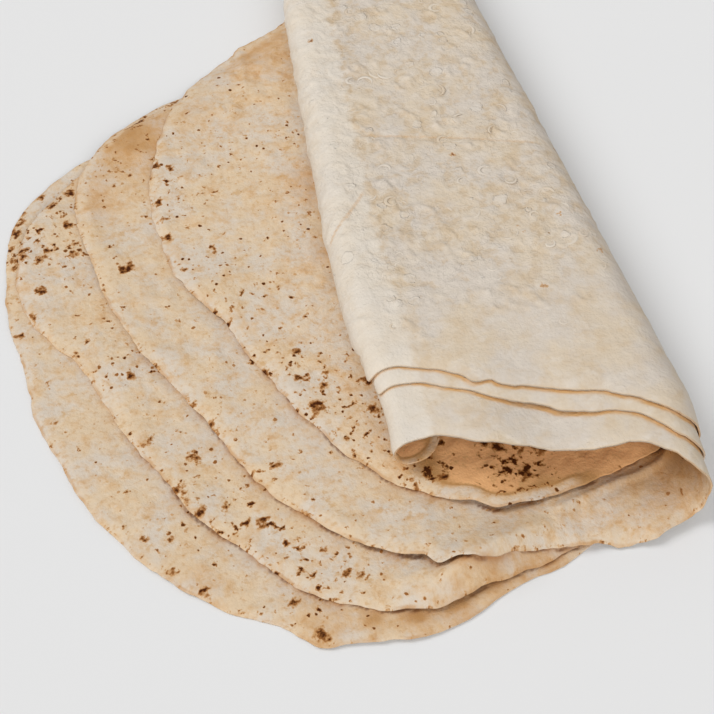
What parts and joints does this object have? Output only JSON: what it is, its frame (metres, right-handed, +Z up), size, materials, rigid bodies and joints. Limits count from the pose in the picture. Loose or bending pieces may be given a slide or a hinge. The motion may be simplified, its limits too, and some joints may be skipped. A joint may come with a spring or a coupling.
{
  "type": "folded lavash flatbread",
  "caption": "Stack of thin round lavash flatbreads, fanned out, with one side folded over in a soft open roll and its edge tucked under.",
  "frame": {"origin": "on the surface that the bread lies on, under the middle of its box", "axes": "+Z up, away from that surface; +Y runs from the open front mouth of the fold towards its far end; +X points to the folded side"},
  "size_m": [0.3478, 0.5298, 0.0384],
  "materials": {
    "bread_bottom": "matt baked wheat dough, pale cream with brown blister marks on the upper face, plain cream underneath",
    "bread_lower": "matt baked wheat dough, cream with brown blister marks on the upper face, plain cream underneath",
    "bread_upper": "matt baked wheat dough, cream with tan clouds and brown blister marks on the upper face, plain cream underneath",
    "bread_top": "matt baked wheat dough, tan clouds and many brown blister marks on the upper face, plain cream underneath"
  },
  "bodies": {
    "root": {"sheet_1": "bread_bottom", "sheet_2": "bread_lower", "sheet_3": "bread_upper", "sheet_4": "bread_top"}
  },
  "joints": []
}
